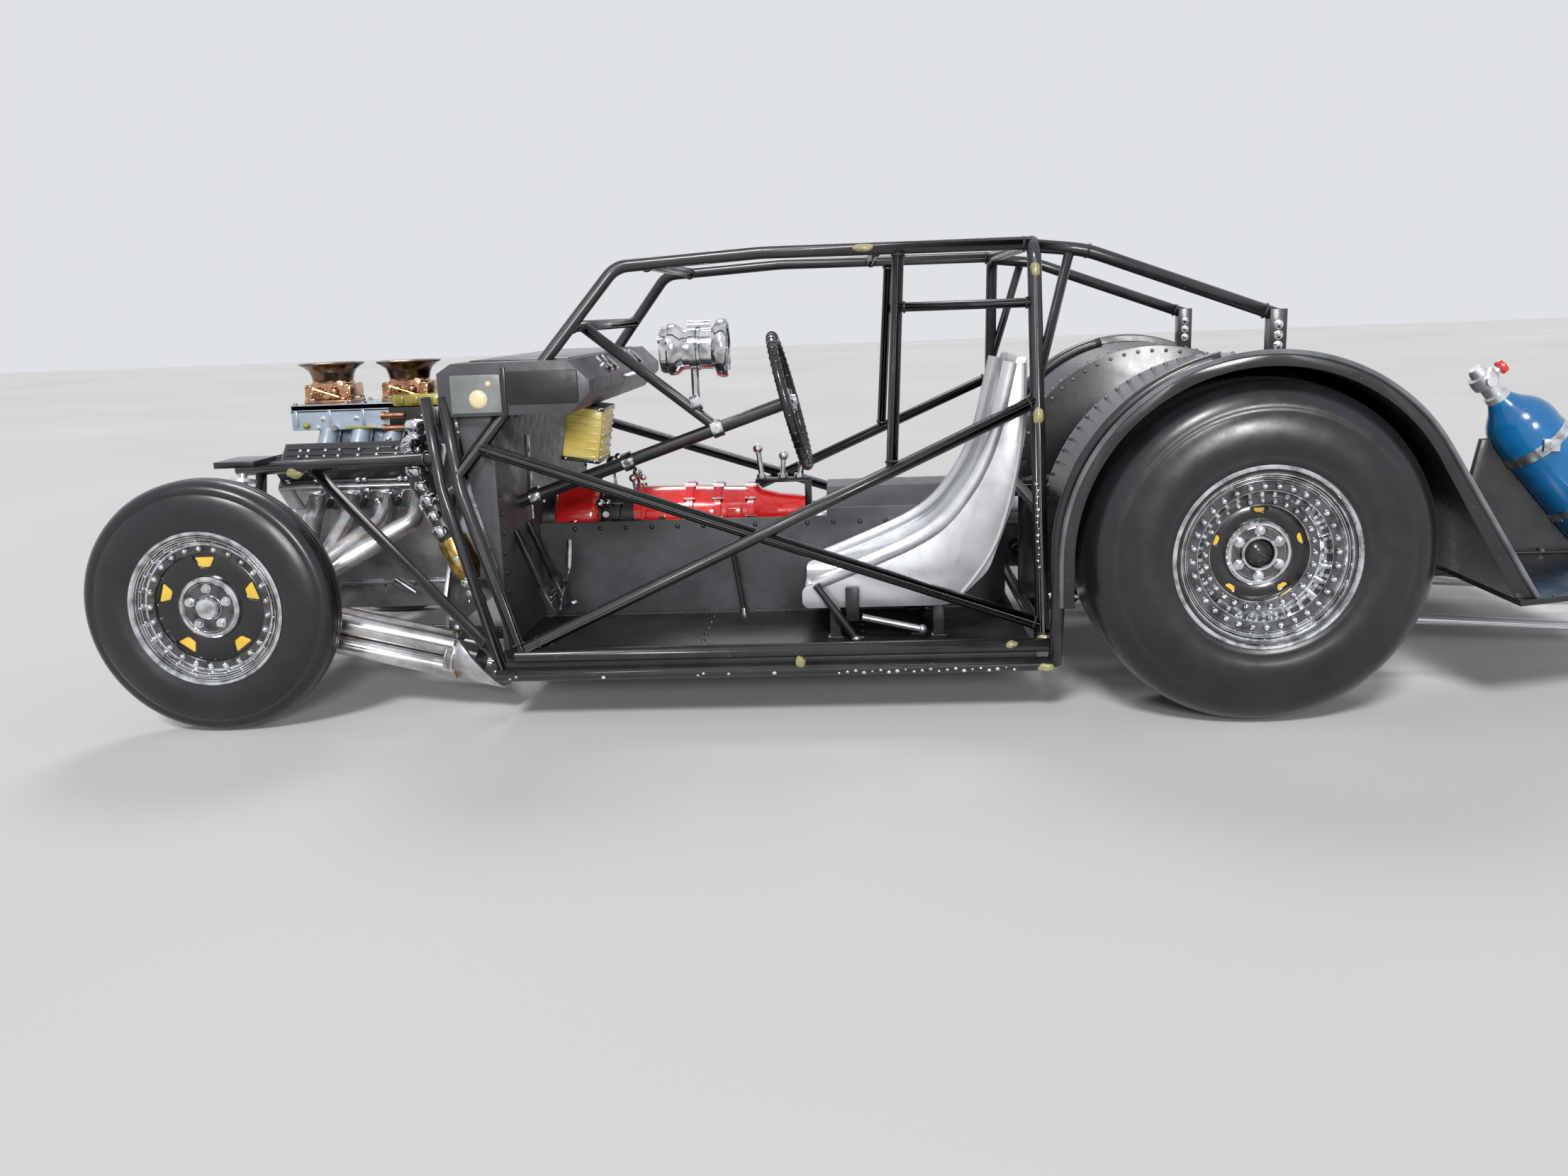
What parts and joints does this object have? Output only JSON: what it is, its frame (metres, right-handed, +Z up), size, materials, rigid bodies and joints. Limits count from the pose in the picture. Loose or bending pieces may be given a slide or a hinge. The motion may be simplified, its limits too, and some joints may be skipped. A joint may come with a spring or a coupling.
{
  "type": "scale model drag racing car chassis",
  "caption": "Scale model of a drag racing car shown as a rolling tube-frame chassis with engine, cockpit, wheel tubs, wide rear slicks and wheelie bars; its body shell is off.",
  "frame": {"origin": "on the floor under the middle of the car's overall length and width", "axes": "+X forward to the front wheels, +Y to the car's left, +Z up"},
  "size_m": [0.1868, 0.073, 0.05],
  "materials": {
    "frame_black": "gloss black paint over styrene tube",
    "floor_black": "satin black",
    "panel_grey": "satin dark grey paint",
    "tub_grey": "satin grey paint",
    "tyre": "smooth black vinyl",
    "rim_chrome": "bright plated plastic",
    "wheelie_black": "black",
    "seat_silver": "silver paint",
    "engine_alloy": "cast alloy paint",
    "cover_black": "gloss black",
    "manifold_blue": "pale blue-grey metallic paint",
    "carb_brass": "gold paint",
    "chrome_trim": "bright plated plastic",
    "gearbox_red": "gloss red paint",
    "bar_silver": "silver paint",
    "bottle_blue": "gloss blue paint",
    "box_yellow": "gloss yellow paint"
  },
  "bodies": {
    "chassis": {"side_rails": "frame_black", "cross_tubes": "frame_black", "main_hoop": "frame_black", "roof_bars": "frame_black", "roof_cross_bars": "frame_black", "uprights": "frame_black", "door_bars_down": "frame_black", "door_bars_up": "frame_black", "front_rails": "frame_black", "front_braces": "frame_black", "rear_frame": "frame_black", "frame_brackets": "frame_black", "pedals_and_levers": "frame_black", "control_arms": "frame_black", "four_link_bars": "frame_black", "rear_axle": "frame_black", "front_struts": "frame_black", "bottle_cradle": "frame_black", "tub_tubes": "frame_black", "floor_pan": "floor_black", "tunnel": "panel_grey", "firewall": "panel_grey", "dashboard": "panel_grey", "wheel_tubs": "tub_grey", "trunk_floor": "tub_grey", "seat": "seat_silver", "cylinder_heads": "engine_alloy", "engine_block": "engine_alloy", "bellhousing": "engine_alloy", "oil_pan": "engine_alloy", "motor_plates": "engine_alloy", "valve_covers": "cover_black", "steering_wheel": "cover_black", "steering_column": "cover_black", "intake_manifold": "manifold_blue", "carburettors": "carb_brass", "breathers_and_magneto": "chrome_trim", "belt_drive": "chrome_trim", "header_primaries": "chrome_trim", "header_collectors": "chrome_trim", "tachometer": "chrome_trim", "catch_can": "chrome_trim", "gearbox": "gearbox_red", "wheelie_bars": "bar_silver", "driveshaft": "bar_silver", "steering_rack": "bar_silver", "rear_coil_overs": "bar_silver", "gas_bottle": "bottle_blue", "ignition_box": "box_yellow"},
    "front_left_wheel": {"front_left_tyre": "tyre", "front_left_rim": "rim_chrome"},
    "front_right_wheel": {"front_right_tyre": "tyre", "front_right_rim": "rim_chrome"},
    "rear_left_wheel": {"rear_left_tyre": "tyre", "rear_left_rim": "rim_chrome"},
    "rear_right_wheel": {"rear_right_tyre": "tyre", "rear_right_rim": "rim_chrome"},
    "wheelie_wheel_pair": {"wheelie_wheels": "wheelie_black"}
  },
  "joints": [
    {"name": "front_left_wheel_spin", "type": "hinge", "parent": "chassis", "child": "front_left_wheel", "pos_m": [0.07955, 0.029, 0.0139], "axis": [0, 1, 0], "continuous": true},
    {"name": "front_right_wheel_spin", "type": "hinge", "parent": "chassis", "child": "front_right_wheel", "pos_m": [0.07955, -0.029, 0.0139], "axis": [0, 1, 0], "continuous": true},
    {"name": "rear_left_wheel_spin", "type": "hinge", "parent": "chassis", "child": "rear_left_wheel", "pos_m": [-0.03105, 0.028, 0.0175], "axis": [0, 1, 0], "continuous": true},
    {"name": "rear_right_wheel_spin", "type": "hinge", "parent": "chassis", "child": "rear_right_wheel", "pos_m": [-0.03105, -0.028, 0.0175], "axis": [0, 1, 0], "continuous": true},
    {"name": "wheelie_wheel_pair_spin", "type": "hinge", "parent": "chassis", "child": "wheelie_wheel_pair", "pos_m": [-0.09105, 0, 0.0028], "axis": [0, 1, 0], "continuous": true}
  ]
}
